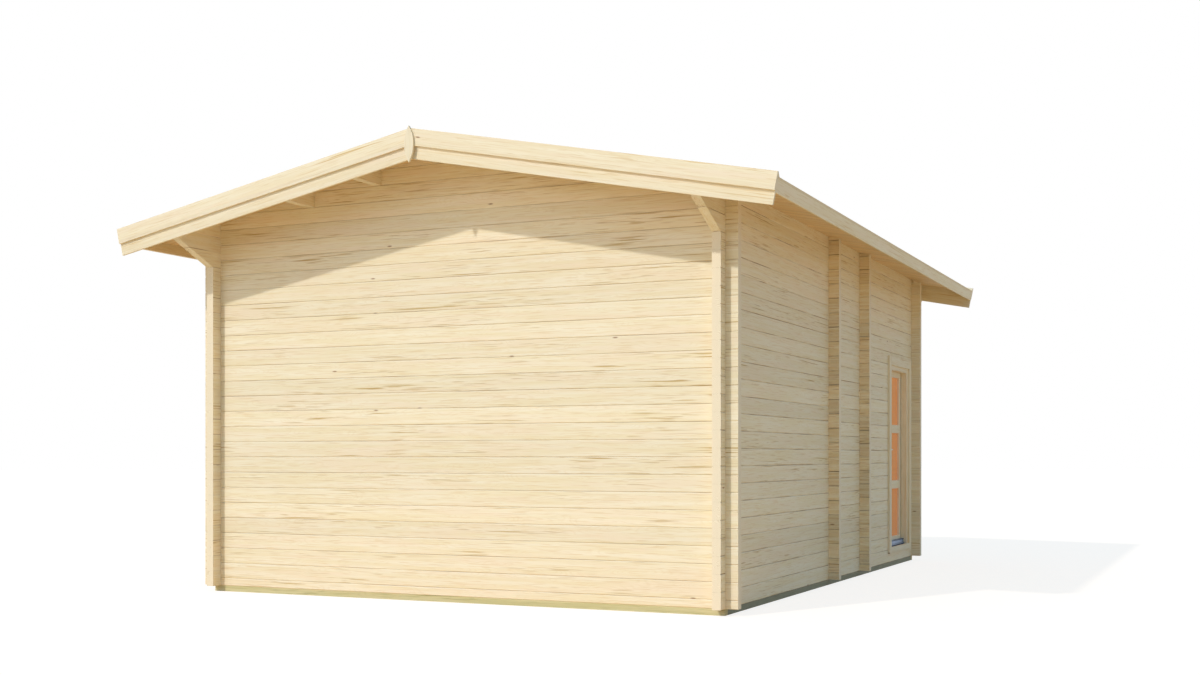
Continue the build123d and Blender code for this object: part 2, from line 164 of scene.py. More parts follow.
# Pressure-treated spruce: the salts leave it greenish
treated_tones = {
    "pale": "#DAD1A2", "yellow": "#CDC591", "pink": "#D4C89A", "latewood": "#B5AE78",
    "streak": "#98925F", "knot": "#6E6642", "seam": "#5A5638", "painted_highlight": "#DFD8AE", "end": "#C8BF8C",
}
# The same wood under the side walls, darker and greyer: painted shade, as these beams lie in shade near the ground
shaded_sill_tones = {
    "pale": "#84856D", "yellow": "#7B7C63", "pink": "#807F68", "latewood": "#6A6B56",
    "streak": "#595A47", "knot": "#434433", "seam": "#3A3A2B", "painted_highlight": "#898A74", "end": "#7C7E68",
}

# Growth rings in millimetres: how wide, drawn about twice as coarse as real ones to show from afar, how far the
# heart lies from a log's middle, and how far it wanders along the log
ring_width = 6.5
heart_spread = 90
heart_wander = 46
# The part of a ring's wave that is free of latewood, and how strongly rings show on faces and on ends
ring_free_level = 0.1
ring_strength = 0.18
end_ring_strength = 0.25
# A face is end grain where it looks along the grain by these shares, from a trace to fully
end_trace = 0.8
end_full = 0.95
# Other marks: how long and wide in millimetres, the levels of a noise where they begin and are full, how strong
bands = (1100, 34, 0.36, 0.64, 1.0)
flushes = (800, 80, 0.45, 0.70, 0.7)
wandering = (520, 90, 0.2, 0.8, heart_wander)
flecks = (230, 9, 0.55, 0.67, 0.5)
streaky_places = (1100, 120, 0.47, 0.65, 1.0)
short_streaks = (270, 11, 0.6, 0.7, 0.5)
long_streaks = (760, 18, 0.63, 0.73, 0.8)
# Where painted shade darkens the joints, in patches
joint_shade_places = (420, 60, 0.38, 0.64, 1.0)
fibres = (38, 0.9, 0.0, 1.0, 1.0)
# Knots: the patch of face that may hold one, as shares per millimetre, the share of patches that do, and the
# knot's rim and heart in shares of a patch
knot_patch = (1 / 900, 1 / 240, 0)
knot_share = 1 / 8
knot_rim_share = 0.036
knot_heart_share = 0.008
knot_strength = 0.75
# Shifts that give each log and each half of the roof its own stretch of figure, in millimetres and in courses
luck_shift = 9000
side_apart = 7300
courses_apart = 3
# The painted highlight along the top of a log
painted_highlight_height = 5
painted_highlight_strength = 0.4
# The relief of planed fibres
fibre_relief = 0.4
fibre_strength = 0.25
# A course or period longer than the cabin, for wood that isn't split into logs or boards
one_piece = 20000


def patches(tree, grain, marks, detail=1.0):
    """Soft marks along the grain."""
    long, wide, low, high, most = marks
    scale = (1 / long, 1 / wide, 1 / wide)
    spread = add(tree, "ShaderNodeVectorMath", {0: grain, 1: scale}, operation="MULTIPLY")[0]
    look = {"Vector": spread, "Scale": 1.0, "Detail": detail, "Roughness": 0.55}
    noise = add(tree, "ShaderNodeTexNoise", look)[0]
    levels = {"Value": noise, "From Min": low, "From Max": high, "To Max": most}
    return add(tree, "ShaderNodeMapRange", levels, interpolation_type="SMOOTHSTEP")[0]


def lay_of_the_wood(tree, lie, first, course, middle, period):
    """Where a point lies in its own log or board, in millimetres, where its face looks, and the piece's luck."""
    seen = add(tree, "ShaderNodeTexCoord")
    place = add(tree, "ShaderNodeVectorMath", {0: seen["Object"], "Scale": 1 / mm}, operation="SCALE")[0]
    facing = seen["Normal"]
    side_shift = 0
    if lie in sloping:
        x, y, z = add(tree, "ShaderNodeSeparateXYZ", {0: place})
        outward = add(tree, "ShaderNodeMath", {0: x}, operation="ABSOLUTE")[0]
        place = add(tree, "ShaderNodeCombineXYZ", {0: outward, 1: y, 2: z})[0]
        hand = add(tree, "ShaderNodeMath", {0: x}, operation="SIGN")[0]
        side_shift = add(tree, "ShaderNodeMath", {0: hand, 1: side_apart}, operation="MULTIPLY")[0]
        mirror = add(tree, "ShaderNodeCombineXYZ", {0: hand, 1: 1, 2: 1})[0]
        facing = add(tree, "ShaderNodeVectorMath", {0: facing, 1: mirror}, operation="MULTIPLY")[0]
    along, across, through = [
        add(tree, "ShaderNodeVectorMath", {0: place, 1: way}, operation="DOT_PRODUCT")["Value"] for way in lie
    ]
    step = add(tree, "ShaderNodeMath", {0: across, 1: first}, operation="SUBTRACT")[0]
    step = add(tree, "ShaderNodeMath", {0: step, 1: course}, operation="DIVIDE")[0]
    piece = add(tree, "ShaderNodeMath", {0: step}, operation="FLOOR")[0]
    level = add(tree, "ShaderNodeMath", {0: step, 1: piece}, operation="SUBTRACT")[0]
    level = add(tree, "ShaderNodeMath", {0: level, 1: 1 / 2}, operation="SUBTRACT")[0]
    height = add(tree, "ShaderNodeMath", {0: level, 1: course}, operation="MULTIPLY")[0]
    offset = add(tree, "ShaderNodeMath", {0: through, 1: middle}, operation="SUBTRACT")[0]
    bank = add(tree, "ShaderNodeMath", {0: offset, 1: period}, operation="DIVIDE")[0]
    bank = add(tree, "ShaderNodeMath", {0: bank}, operation="ROUND")[0]
    depth = add(tree, "ShaderNodeMath", {0: offset, 1: period / 2, 2: -period / 2}, operation="WRAP")[0]
    which = add(tree, "ShaderNodeCombineXYZ", {0: piece, 1: bank, 2: side_shift})[0]
    luck = add(tree, "ShaderNodeTexWhiteNoise", {"Vector": which}, noise_dimensions="3D")["Color"]
    luck = add(tree, "ShaderNodeSeparateColor", {0: luck})
    start = add(tree, "ShaderNodeMath", {0: luck[0], 1: luck_shift, 2: along}, operation="MULTIPLY_ADD")[0]
    start = add(tree, "ShaderNodeMath", {0: start, 1: side_shift}, operation="ADD")[0]
    lift = add(tree, "ShaderNodeMath", {0: piece, 1: courses_apart * course, 2: height}, operation="MULTIPLY_ADD")[0]
    grain = add(tree, "ShaderNodeCombineXYZ", {0: start, 1: lift, 2: depth})[0]
    return grain, height, depth, facing, luck


def wood(name, lie, tones, first=-one_piece / 2, course=one_piece, middle=0, period=one_piece,
         seam=0, joint_shade=0.5, uneven=0.09):
    """Planed softwood, drawn in millimetres from the grain's own direction.

    Pieces lie one course apart across their faces, counted from the first, and stand one period apart through
    their thickness, counted from the middle of one of them, so each log or board has its own figure. A seam is the
    height of the joint's edge that painted shade darkens, with a painted highlight just below it along the log's
    upper edge. The eye gets a pale, nearly matt face with a soft shine and fine lines.
    """
    material, tree = start_material(name)
    tint = {key: colour(code) for key, code in tones.items()}
    grain, height, depth, facing, luck = lay_of_the_wood(tree, lie, first, course, middle, period)
    # Broad soft bands, as the planed face runs in and out of the growth rings
    band = patches(tree, grain, bands, 2.0)
    shade = add(tree, "ShaderNodeMix", {0: band, 6: tint["pale"], 7: tint["yellow"]}, data_type="RGBA")[2]
    flush = patches(tree, grain, flushes, 2.0)
    shade = add(tree, "ShaderNodeMix", {0: flush, 6: shade, 7: tint["pink"]}, data_type="RGBA")[2]
    # Growth rings round a heart that wanders a little along the log
    wander = patches(tree, grain, wandering)
    heart = {0: luck[1], 1: heart_spread, 2: -heart_spread / 2}
    heart = add(tree, "ShaderNodeMath", heart, operation="MULTIPLY_ADD")[0]
    off_heart = add(tree, "ShaderNodeMath", {0: height, 1: heart}, operation="ADD")[0]
    off_heart = add(tree, "ShaderNodeCombineXYZ", {0: off_heart, 1: depth})[0]
    radius = add(tree, "ShaderNodeVectorMath", {0: off_heart}, operation="LENGTH")["Value"]
    radius = add(tree, "ShaderNodeMath", {0: radius, 1: wander}, operation="ADD")[0]
    ring = add(tree, "ShaderNodeMath", {0: radius, 1: 2 * math.pi / ring_width}, operation="MULTIPLY")[0]
    ring = add(tree, "ShaderNodeMath", {0: ring}, operation="SINE")[0]
    ring = add(tree, "ShaderNodeMapRange", {"Value": ring, "From Min": ring_free_level, "From Max": 1.0})[0]
    faint = add(tree, "ShaderNodeMath", {0: ring, 1: ring_strength}, operation="MULTIPLY")[0]
    shade = add(tree, "ShaderNodeMix", {0: faint, 6: shade, 7: tint["latewood"]}, data_type="RGBA")[2]
    # Short faint dashes all over, where the plane cuts single rings
    fleck = patches(tree, grain, flecks)
    shade = add(tree, "ShaderNodeMix", {0: fleck, 6: shade, 7: tint["latewood"]}, data_type="RGBA")[2]
    # Resin streaks: golden brown dashes, some a hand long, a few as long as an arm
    streaky = patches(tree, grain, streaky_places)
    for streaks in (short_streaks, long_streaks):
        streak = patches(tree, grain, streaks)
        streak = add(tree, "ShaderNodeMath", {0: streak, 1: streaky}, operation="MULTIPLY")[0]
        shade = add(tree, "ShaderNodeMix", {0: streak, 6: shade, 7: tint["streak"]}, data_type="RGBA")[2]
    # A few small lens-shaped knots
    patch = add(tree, "ShaderNodeVectorMath", {0: grain, 1: knot_patch}, operation="MULTIPLY")[0]
    spot = add(tree, "ShaderNodeTexVoronoi", {"Vector": patch, "Scale": 1.0}, voronoi_dimensions="2D")
    pick = add(tree, "ShaderNodeSeparateColor", {0: spot["Color"]})[0]
    pick = add(tree, "ShaderNodeMath", {0: pick, 1: 1 - knot_share}, operation="GREATER_THAN")[0]
    reach = {"Value": spot["Distance"], "From Min": knot_rim_share, "From Max": knot_heart_share,
             "To Max": knot_strength}
    knot = add(tree, "ShaderNodeMapRange", reach, interpolation_type="SMOOTHSTEP")[0]
    knot = add(tree, "ShaderNodeMath", {0: knot, 1: pick}, operation="MULTIPLY")[0]
    shade = add(tree, "ShaderNodeMix", {0: knot, 6: shade, 7: tint["knot"]}, data_type="RGBA")[2]
    # Every piece a little lighter or darker than the next
    value = add(tree, "ShaderNodeMath", {0: luck[2], 1: uneven, 2: 1 - uneven / 2}, operation="MULTIPLY_ADD")[0]
    shade = add(tree, "ShaderNodeVectorMath", {0: shade, "Scale": value}, operation="SCALE")[0]
    if seam:
        # A painted highlight runs along the upper edge of each log, where light would catch it, and painted shade
        # darkens the joint in places
        painted_highlight = {"Value": height, "From Min": course / 2 - seam - painted_highlight_height, "From Max": course / 2 - seam,
               "To Max": painted_highlight_strength}
        painted_highlight = add(tree, "ShaderNodeMapRange", painted_highlight, interpolation_type="SMOOTHSTEP")[0]
        shade = add(tree, "ShaderNodeMix", {0: painted_highlight, 6: shade, 7: tint["painted_highlight"]}, data_type="RGBA")[2]
        joint = add(tree, "ShaderNodeMath", {0: height}, operation="ABSOLUTE")[0]
        joint = {"Value": joint, "From Min": course / 2 - seam, "From Max": course / 2, "To Max": joint_shade}
        joint = add(tree, "ShaderNodeMapRange", joint, interpolation_type="SMOOTHSTEP")[0]
        joint_shade_patches = patches(tree, grain, joint_shade_places)
        joint = add(tree, "ShaderNodeMath", {0: joint, 1: joint_shade_patches}, operation="MULTIPLY")[0]
        shade = add(tree, "ShaderNodeMix", {0: joint, 6: shade, 7: tint["seam"]}, data_type="RGBA")[2]
    # End grain where the face looks along the grain: the rings show as arcs
    look = add(tree, "ShaderNodeVectorMath", {0: facing, 1: lie[0]}, operation="DOT_PRODUCT")["Value"]
    look = add(tree, "ShaderNodeMath", {0: look}, operation="ABSOLUTE")[0]
    end = add(tree, "ShaderNodeMapRange", {"Value": look, "From Min": end_trace, "From Max": end_full})[0]
    arcs = add(tree, "ShaderNodeMath", {0: ring, 1: end_ring_strength}, operation="MULTIPLY")[0]
    sawn = add(tree, "ShaderNodeMix", {0: arcs, 6: tint["end"], 7: tint["streak"]}, data_type="RGBA")[2]
    shade = add(tree, "ShaderNodeMix", {0: end, 6: shade, 7: sawn}, data_type="RGBA")[2]
    # Planed fibres, drawn near a millimetre wide, felt more than seen
    fibre = patches(tree, grain, fibres, 2.0)
    relief = {"Strength": fibre_strength, "Distance": fibre_relief * mm, "Height": fibre}
    bump = add(tree, "ShaderNodeBump", relief)[0]
    surface = {"Base Color": shade, "Roughness": 0.6, "Specular IOR Level": 0.25, "Normal": bump}
    add(tree, "ShaderNodeOutputMaterial", {"Surface": add(tree, "ShaderNodeBsdfPrincipled", surface)[0]})
    return material


def middle_of(node):
    """The middle of a CAD piece's box in millimetres."""
    low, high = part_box(node)
    return (low + high) / 2 / mm


wall_middle_x = wall_half_width - log_thickness / 2
wall_middle_y = wall_half_length - log_thickness / 2
half_course_up = log_base + log_course / 2
gable_board_y = middle_of("back_upper_bargeboards").y
fascia_x = middle_of("right_fascia").x
door_face_x = middle_of("door_stiles").x
door_middle = middle_of("door_stiles").y
side_sill_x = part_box("sill_beams_sides")[1].x / mm

rail_edges = sorted({round(corner.co.z / mm, 1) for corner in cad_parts["door_rails"].data.vertices})
pane_edges = list(zip(rail_edges[1:-1:2], rail_edges[2:-1:2]))
pane_step = pane_edges[1][0] - pane_edges[0][0]
lowest_pane_middle = sum(pane_edges[0]) / 2

gable_logs = wood("planed spruce, gable logs", crosswise, spruce_tones, half_course_up, log_course,
                  wall_middle_y, 2 * wall_middle_y, seam=4)
# The side walls' joints take stronger painted shade
side_logs = wood("planed spruce, side wall logs", lengthwise, spruce_tones, log_base, log_course,
                 wall_middle_x, 2 * wall_middle_x, seam=5, joint_shade=0.95)
# The short cross logs take darker, browner tones: painted shade
cross_logs = wood("planed spruce, short cross logs", crosswise, shaded_cross_tones, half_course_up, log_course,
                  stub_places[0], stub_places[1] - stub_places[0], seam=6, joint_shade=0.9, uneven=0.2)
purlin_wood = wood("planed spruce, purlins", lengthwise, spruce_tones, middle=0, period=purlin_spacing)
gable_boards = wood("planed spruce, bargeboards and laths", down_the_gable, board_tones, 0, gable_board_width,
                    gable_board_y, 2 * gable_board_y)
eave_boards = wood("planed spruce, eaves fascia", lengthwise, board_tones, middle=fascia_x, period=2 * fascia_x)
upright_boards = wood("planed spruce, upright trim and joinery", upright, board_tones, door_middle, one_piece / 2,
                      door_face_x)
level_boards = wood("planed spruce, level trim and joinery", lengthwise, board_tones, lowest_pane_middle, pane_step,
                    door_face_x)
# The side sill beams take the shaded copy of the treated tones: painted shade
treated_lengthwise = wood("pressure-treated spruce, side sill beams", lengthwise, shaded_sill_tones,
                          middle=side_sill_x, period=2 * side_sill_x)
treated_crosswise = wood("pressure-treated spruce, gable sill beams and joists", crosswise, treated_tones,
                         period=joist_spacing)


def fine_lines(tree, along, long, wide, detail):
    """Lines along an axis of the cabin, about this long and wide in millimetres."""
    place = add(tree, "ShaderNodeTexCoord")["Object"]
    scale = [1 / ((long if axis == along else wide) * mm) for axis in "xyz"]
    spread = add(tree, "ShaderNodeVectorMath", {0: place, 1: scale}, operation="MULTIPLY")[0]
    return add(tree, "ShaderNodeTexNoise", {"Vector": spread, "Scale": 1.0, "Detail": detail})[0]


# Brushing is a tenth of a millimetre wide, and drawn about ten times as coarse to show
brushed_line_width = 1.1
brushed_relief = 0.1
brushed_strength = 0.2
gloss_spread = 0.06


def brushed_metal(name, bright, dark, roughness, along, line_length):
    """Metal with fine brushing, which spreads its gloss across the lines and keeps it soft."""
    material, tree = start_material(name)
    lines = fine_lines(tree, along, line_length, brushed_line_width, 3.0)
    shade = add(tree, "ShaderNodeMix", {0: lines, 6: colour(dark), 7: colour(bright)}, data_type="RGBA")[2]
    gloss = {"Value": lines, "To Min": roughness - gloss_spread, "To Max": roughness + gloss_spread}
    gloss = add(tree, "ShaderNodeMapRange", gloss)[0]
    relief = {"Strength": brushed_strength, "Distance": brushed_relief * mm, "Height": lines}
    bump = add(tree, "ShaderNodeBump", relief)[0]
    surface = {"Base Color": shade, "Metallic": 1.0, "Roughness": gloss, "Normal": bump}
    add(tree, "ShaderNodeOutputMaterial", {"Surface": add(tree, "ShaderNodeBsdfPrincipled", surface)[0]})
    return material


# Blue anodising over lengthwise brushing: a long soft highlight on each bend of the bar
bar_metal = brushed_metal("anodised aluminium, brushed lengthwise", "#758CAB", "#637792", 0.4, "y", 110)
# Upright brushing on the handles and hinges: a neutral grey with a broad dull shine
steel = brushed_metal("stainless steel, brushed", "#B9BABA", "#A7A8A8", 0.32, "z", 33)


def dark_strip_rubber():
    """Black rubber for strips that paint dark shadow lines: matt, with faint lines along it from the die."""
    material, tree = start_material("black rubber, painted shadow lines")
    lines = fine_lines(tree, "y", 165, brushed_line_width, 2.0)
    tones = {0: lines, 6: colour("#1F2330"), 7: colour("#2E3444")}
    shade = add(tree, "ShaderNodeMix", tones, data_type="RGBA")[2]
    relief = {"Strength": brushed_strength, "Distance": brushed_relief * mm, "Height": lines}
    bump = add(tree, "ShaderNodeBump", relief)[0]
    surface = {"Base Color": shade, "Roughness": 0.75, "Specular IOR Level": 0.3, "Normal": bump}
    add(tree, "ShaderNodeOutputMaterial", {"Surface": add(tree, "ShaderNodeBsdfPrincipled", surface)[0]})
    return material


rubber = dark_strip_rubber()


ripple_width = 200
ripple_relief = 1
ripple_strength = 0.05


def pane_with_painted_room_light():
    """Float glass, smooth, with a slight ripple a hand wide that bends reflections.

    Its warm tint is painted light: the lit wooden room seen through clear glass. A faint painted glow stands for
    warm light from the room, because the panes look brighter than the shade they stand in.
    """
    material, tree = start_material("float glass, room light painted in")
    ripple = fine_lines(tree, "z", ripple_width, ripple_width, 1.0)
    relief = {"Strength": ripple_strength, "Distance": ripple_relief * mm, "Height": ripple}
    bump = add(tree, "ShaderNodeBump", relief)[0]
    # Orange base colour: painted light of the lit wooden room behind the glass
    tones = {0: ripple, 6: colour("#FFB06C"), 7: colour("#FFB878")}
    shade = add(tree, "ShaderNodeMix", tones, data_type="RGBA")[2]
    surface = {"Base Color": shade, "Roughness": 0.03, "IOR": 1.45, "Transmission Weight": 0.06,
               "Specular IOR Level": 0.2, "Normal": bump,
               # A faint painted glow
               "Emission Color": colour("#FF9051"), "Emission Strength": 0.1}
    add(tree, "ShaderNodeOutputMaterial", {"Surface": add(tree, "ShaderNodeBsdfPrincipled", surface)[0]})
    return material


pane_glass = pane_with_painted_room_light()

finishes = {
    gable_logs: ["front_wall", "front_gable", "back_wall", "back_gable"],
    side_logs: ["left_wall", "right_wall_under_door", "right_wall_before_door", "right_wall_after_door",
                "right_wall_over_door"],
    cross_logs: ["left_wall_log_stubs", "right_wall_log_stubs"],
    purlin_wood: ["ridge_purlin", "left_purlins", "right_purlins"],
    gable_boards: ["front_upper_bargeboards", "front_lower_bargeboards", "front_edge_laths",
                   "back_upper_bargeboards", "back_lower_bargeboards", "back_edge_laths"],
    eave_boards: ["left_fascia", "right_fascia"],
    upright_boards: ["front_finial", "back_finial", "door_outer_casing_sides", "door_inner_casing_sides",
                     "door_jambs", "door_stiles"],
    level_boards: ["door_outer_casing_head_and_foot", "door_inner_casing_head", "door_head", "door_sill",
                   "door_rails"],
    treated_lengthwise: ["sill_beams_sides"],
    treated_crosswise: ["sill_beams_gables", "floor_joists"],
    bar_metal: ["door_weather_bar"],
    steel: ["door_hinges_on_frame", "door_hinges_on_leaf", "door_handle"],
    pane_glass: ["door_glass"],
}
for finish, names in finishes.items():
    for name in names:
        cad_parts[name].data.materials.clear()
        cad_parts[name].data.materials.append(finish)


# Edges bent more than this stay sharp, the others are rounded to the eye
crease = math.radians(32)


def piece_from(name, mesh, finish, body):
    """Turns finished mesh work into a piece that moves with a body."""
    bmesh.ops.recalc_face_normals(mesh, faces=mesh.faces)
    data = bpy.data.meshes.new(name)
    mesh.to_mesh(data)
    mesh.free()
    data.shade_smooth()
    data.set_sharp_from_angle(angle=crease)
    data.materials.append(finish)
    piece = bpy.data.objects.new(name, data)
    bpy.context.scene.collection.objects.link(piece)
    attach(piece, body)
    return piece


def corners(mesh, points):
    """New corners of a mesh at points given in millimetres."""
    return [mesh.verts.new(Vector(point) * mm) for point in points]


def skin(mesh, rings, round_and_shut=False):
    """Faces from each ring of corners to the next, then over both ends, or from the last ring to the first."""
    following = rings[1:] + rings[:1] if round_and_shut else rings[1:]
    for near, far in zip(rings, following):
        for i in range(len(near)):
            j = (i + 1) % len(near)
            mesh.faces.new([near[i], near[j], far[j], far[i]])
    if not round_and_shut:
        mesh.faces.new(rings[0])
        mesh.faces.new(rings[-1])


def stick(mesh, section, start, end):
    """A straight stick along Y whose section is given as places in X and Z."""
    skin(mesh, [corners(mesh, [(x, y, z) for x, z in section]) for y in (start, end)])


ridge_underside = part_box("ridge_purlin")[1].z / mm
deck_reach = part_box("right_roof_deck")[1].x / mm
deck_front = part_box("right_roof_deck")[0].y / mm
deck_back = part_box("right_roof_deck")[1].y / mm
eave_run = (deck_reach - deck_thickness * slope_sin) / slope_cos


def roof_boards(side):
    """Boards from ridge to eave with a V joint underneath, on the left (-1) or right (1) slope."""
    mesh = bmesh.new()
    width = (deck_back - deck_front) / roof_board_count
    gap = roof_board_joint / 2
    for number in range(roof_board_count):
        near = deck_front + number * width
        far = near + width
        section = [
            (near + gap * (number > 0), deck_thickness), (near + gap, roof_board_bevel),
            (near + gap + roof_board_bevel, 0), (far - gap - roof_board_bevel, 0),
            (far - gap, roof_board_bevel), (far - gap * (number < roof_board_count - 1), deck_thickness),
        ]
        at_ridge = []
        at_eave = []
        for y, lift in section:
            peak = ridge_underside - ridge_play * slope_rise + lift / slope_cos
            at_ridge.append((side * ridge_play, y, peak))
            x = eave_run * slope_cos + lift * slope_sin
            z = ridge_underside - eave_run * slope_sin + lift * slope_cos
            at_eave.append((side * x, y, z))
        skin(mesh, [corners(mesh, at_ridge), corners(mesh, at_eave)])
    return mesh


roof_wood = wood("planed spruce, roof boards", down_the_roof, golden_tones, deck_front,
                 (deck_back - deck_front) / roof_board_count, uneven=0.14)
for side, half in ((-1, "left"), (1, "right")):
    boards = piece_from(f"{half}_roof_boards", roof_boards(side), roof_wood, "cabin")
    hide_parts(f"{half}_roof_deck")


floor_low, floor_high = (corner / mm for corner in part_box("floor_deck"))
inner_left = floor_low.x + floor_edge_board_width
floor_board_width = (floor_high.x - floor_low.x - 2 * floor_edge_board_width) / floor_board_count


def floor_boards():
    """Boards along the cabin, the outermost ones cut round the short cross logs."""
    mesh = bmesh.new()
    edges = [inner_left + number * floor_board_width for number in range(floor_board_count + 1)]
    runs = [(near, far, floor_low.y, floor_high.y) for near, far in zip(edges, edges[1:])]
    stops = [floor_low.y]
    for place in stub_places:
        stops += [place - floor_gap_at_stub, place + floor_gap_at_stub]
    stops.append(floor_high.y)
    for start, end in zip(stops[::2], stops[1::2]):
        runs.append((floor_low.x, inner_left, start, end))
        runs.append((floor_high.x - floor_edge_board_width, floor_high.x, start, end))
    gap = floor_board_joint / 2
    for x_low, x_high, start, end in runs:
        section = [
            (x_low + gap, floor_low.z), (x_high - gap, floor_low.z),
            (x_high - gap, floor_high.z - floor_board_bevel), (x_high - gap - floor_board_bevel, floor_high.z),
            (x_low + gap + floor_board_bevel, floor_high.z), (x_low + gap, floor_high.z - floor_board_bevel),
        ]
        stick(mesh, section, start, end)
    return mesh


floor_wood = wood("planed spruce, floor boards", underfoot, spruce_tones, inner_left, floor_board_width,
                  uneven=0.14)
floor = piece_from("floor_boards", floor_boards(), floor_wood, "cabin")
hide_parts("floor_deck")

glass_low, glass_high = (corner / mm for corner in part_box("door_glass"))
pane_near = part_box("door_rails")[0].y / mm
pane_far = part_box("door_rails")[1].y / mm


def glazing_beads():
    """Mitred beads with a rounded face that hold each pane on both sides of the leaf."""
    mesh = bmesh.new()
    turns = [math.radians(turn) for turn in bead_turns]
    curve = [(bead_width * math.cos(turn), bead_depth * math.sin(turn)) for turn in turns]
    section = [(bead_play, 0), (bead_width, 0)] + curve + [(bead_play, bead_depth)]
    for foot, top in pane_edges:
        mitres = [(pane_near, foot, 1, 1), (pane_far, foot, -1, 1),
                  (pane_far, top, -1, -1), (pane_near, top, 1, -1)]
        for face, way in ((glass_high.x, 1), (glass_low.x, -1)):
            rings = []
            for y, z, in_y, in_z in mitres:
                ring = [(face + way * (bead_play + out), y + in_y * lap, z + in_z * lap) for lap, out in section]
                rings.append(corners(mesh, ring))
            skin(mesh, rings, round_and_shut=True)
    return mesh


piece_from("glazing_beads", glazing_beads(), upright_boards, "door")


def oval(place, wide, tall, turns, across):
    """Points round an oval at a place, as wide across as given and as tall upward."""
    x, y, z = place
    flat_x, flat_y = across
    return [(x + flat_x * wide * math.cos(turn), y + flat_y * wide * math.cos(turn), z + tall * math.sin(turn))
            for turn in turns]


full_turn = [2 * math.pi * step / round_sides for step in range(round_sides)]
upper_half_turn = [math.pi * step / (round_sides / 2) for step in range(round_sides // 2 + 1)]
lower_half_turn = [math.pi + turn for turn in upper_half_turn]
plate_low, plate_high = (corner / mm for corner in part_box("door_handle"))
leaf_inside, leaf_outside = (corner.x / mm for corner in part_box("door_stiles"))


def lever_handles():
    """On each face of the leaf a plate with rounded ends, a rose, a bent lever and a lock cylinder."""
    mesh = bmesh.new()
    middle_y = plate_low.y + plate_width / 2
    lever_z = plate_high.z - lever_drop
    upper_end = plate_high.z - plate_width / 2
    lower_end = plate_low.z + plate_width / 2
    for face, way, reach in ((leaf_outside, 1, plate_high.x), (leaf_inside, -1, plate_low.x)):
        rings = []
        for out, inset in plate_edge:
            radius = plate_width / 2 - inset
            x = face + way * out
            edge = oval((x, middle_y, upper_end), radius, radius, upper_half_turn, (0, 1))
            edge += oval((x, middle_y, lower_end), radius, radius, lower_half_turn, (0, 1))
            rings.append(corners(mesh, edge))
        skin(mesh, rings)
        front = face + way * plate_edge[-1][0]
        for drop, profile in ((lever_drop, rose_profile), (lock_drop, cylinder_profile)):
            skin(mesh, [
                corners(mesh, oval((front + way * (out + part_play), middle_y, plate_high.z - drop), radius, radius,
                                   full_turn, (0, 1)))
                for out, radius in profile
            ])
        # The lever: an oval bar that leaves the rose, bends and runs level towards the hinges
        lever_x = reach - way * lever_thickness / 2
        bend_x = lever_x - way * lever_bend
        path = [(front + way * (rose_profile[-1][0] + 2 * part_play), middle_y, 1, 0), (bend_x, middle_y, 1, 0)]
        for step in range(1, bend_steps + 1):
            turn = math.pi / 2 * step / bend_steps
            path.append((bend_x + way * lever_bend * math.sin(turn), middle_y + lever_bend * (1 - math.cos(turn)),
                         math.cos(turn), math.sin(turn)))
        path.append((lever_x, plate_high.y - lever_bend, 0, 1))
        path.append((lever_x, plate_high.y, 0, 1))
        slim = [1] * (len(path) - 1) + [lever_tip_share]
        skin(mesh, [
            corners(mesh, oval((x, y, lever_z), lever_thickness / 2 * share, lever_height / 2 * share, full_turn,
                               (way * along, -out)))
            for (x, y, out, along), share in zip(path, slim)
        ])
    return mesh


handles = piece_from("lever_handles", lever_handles(), steel, "door")
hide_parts("door_handle")

sill_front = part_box("door_sill")[1].x / mm
sill_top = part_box("door_sill")[1].z / mm
bar_low, bar_high = (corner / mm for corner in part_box("door_weather_bar"))


def weather_bar():
    """A bent metal bar over the sill with a drip nose, whose shadow draws a line along it."""
    mesh = bmesh.new()
    face = bar_high.x
    nose_top = bar_low.z + bar_nose_height
    section = [
        (sill_front + part_play, bar_low.z), (face, bar_low.z), (face, nose_top - bar_nose_reach / 2),
        (face + bar_nose_reach, nose_top - bar_nose_reach), (face + bar_nose_reach, nose_top - bar_nose_reach / 2),
        (face, nose_top + bar_nose_reach / 2), (face, bar_high.z - bar_bend),
        (face - bar_bend / 3, bar_high.z - bar_bend / 3),
        (face - bar_bend, bar_high.z), (bar_low.x, bar_high.z), (bar_low.x, sill_top + part_play),
        (sill_front + part_play, sill_top + part_play),
    ]
    stick(mesh, section, bar_low.y, bar_high.y)
    return mesh


bar = piece_from("weather_bar", weather_bar(), bar_metal, "cabin")
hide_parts("door_weather_bar")


def bar_shadow_strips():
    """Dark rubber strips under the bar's nose and along its upper bend, painted shadow lines on the bar."""
    mesh = bmesh.new()
    face = bar_high.x + part_play
    nose_top = bar_low.z + bar_nose_height
    for top in (nose_top - bar_nose_reach, bar_high.z - bar_bend):
        section = [(face, top - shadow_strip_height), (face + shadow_strip_depth, top - shadow_strip_height + shadow_strip_bevel),
                   (face + shadow_strip_depth, top - shadow_strip_bevel), (face, top)]
        stick(mesh, section, bar_low.y, bar_high.y)
    return mesh


# Dark strips put where the bar's shadow lines fall: painted shade
piece_from("weather_bar_shadow_strips", bar_shadow_strips(), rubber, "cabin")

